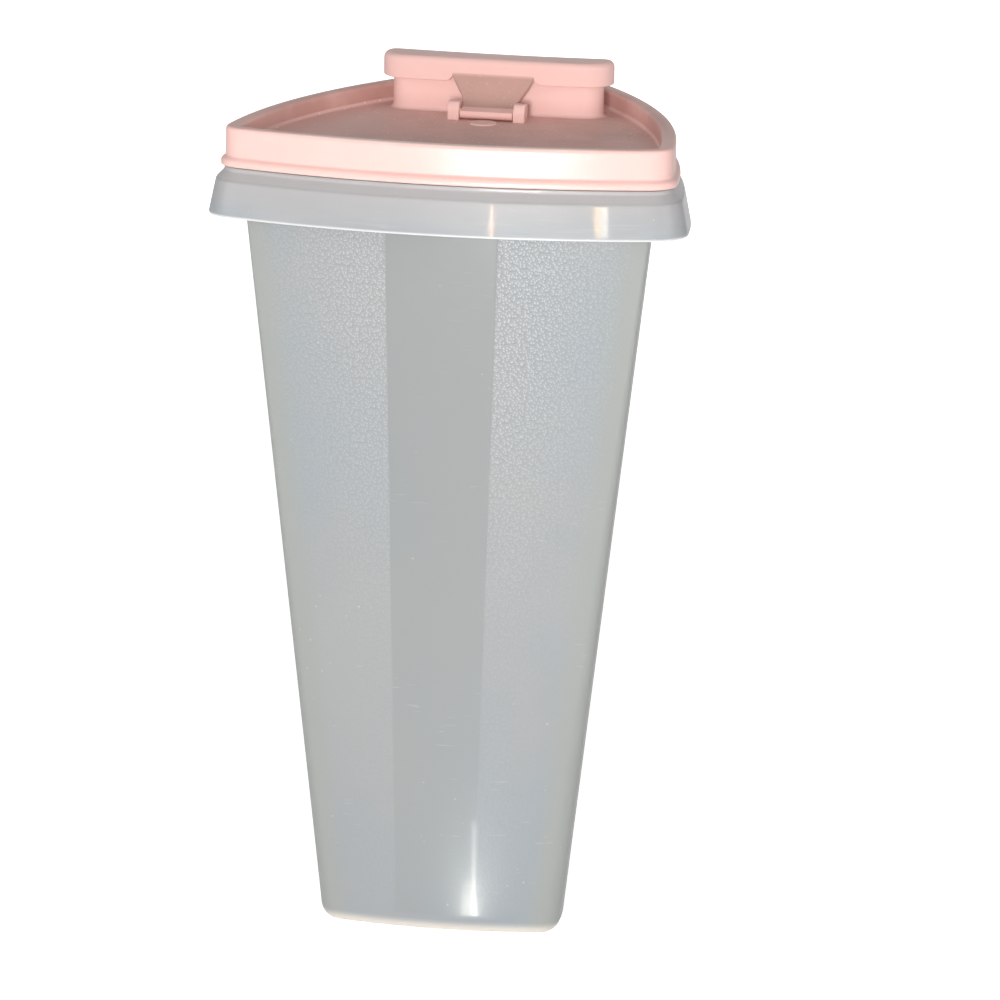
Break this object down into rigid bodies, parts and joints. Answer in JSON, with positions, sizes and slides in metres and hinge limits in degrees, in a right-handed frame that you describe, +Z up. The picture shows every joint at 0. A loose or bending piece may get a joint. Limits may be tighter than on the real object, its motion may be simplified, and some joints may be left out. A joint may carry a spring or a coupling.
{
  "type": "cereal container with flip spout",
  "caption": "Tapered translucent cereal container of rounded-triangle plan, with a press-on lid and a hinged flip cap over the pouring spout.",
  "frame": {"origin": "centre of the rim skirt's plan box, on the plane that the base rests on", "axes": "+Z up from the base to the flip cap; +X along the hinge axis, to the right seen from the hinge side; +Y towards the spout corner"},
  "size_m": [0.1392, 0.1379, 0.2449],
  "materials": {
    "sheer_plastic": "frosted sheer polyethylene, fine pebble grain on the front",
    "pink_plastic": "satin pink polyethylene"
  },
  "bodies": {
    "container": {"container_shell": "sheer_plastic", "container_rim_skirt": "sheer_plastic"},
    "lid": {"lid_rim_channel": "pink_plastic", "lid_edge_bead": "pink_plastic", "lid_deck": "pink_plastic", "spout_tower": "pink_plastic", "hinge_ear_left": "pink_plastic", "hinge_ear_right": "pink_plastic", "deck_button": "pink_plastic"},
    "flip_cap": {"flip_cap_shell": "pink_plastic", "flip_cap_seal_ring": "pink_plastic", "hinge_strap": "pink_plastic", "hinge_knuckle": "pink_plastic", "hinge_trunnions": "pink_plastic"}
  },
  "joints": [
    {"name": "lid_lift", "type": "slide", "parent": "container", "child": "lid", "axis": [0, 0, 1], "range_m": [0, 0.06]},
    {"name": "flip_cap_hinge", "type": "hinge", "parent": "lid", "child": "flip_cap", "pos_m": [0, 0.0053, 0.2307], "axis": [1, 0, 0], "range_deg": [0, 115]}
  ]
}
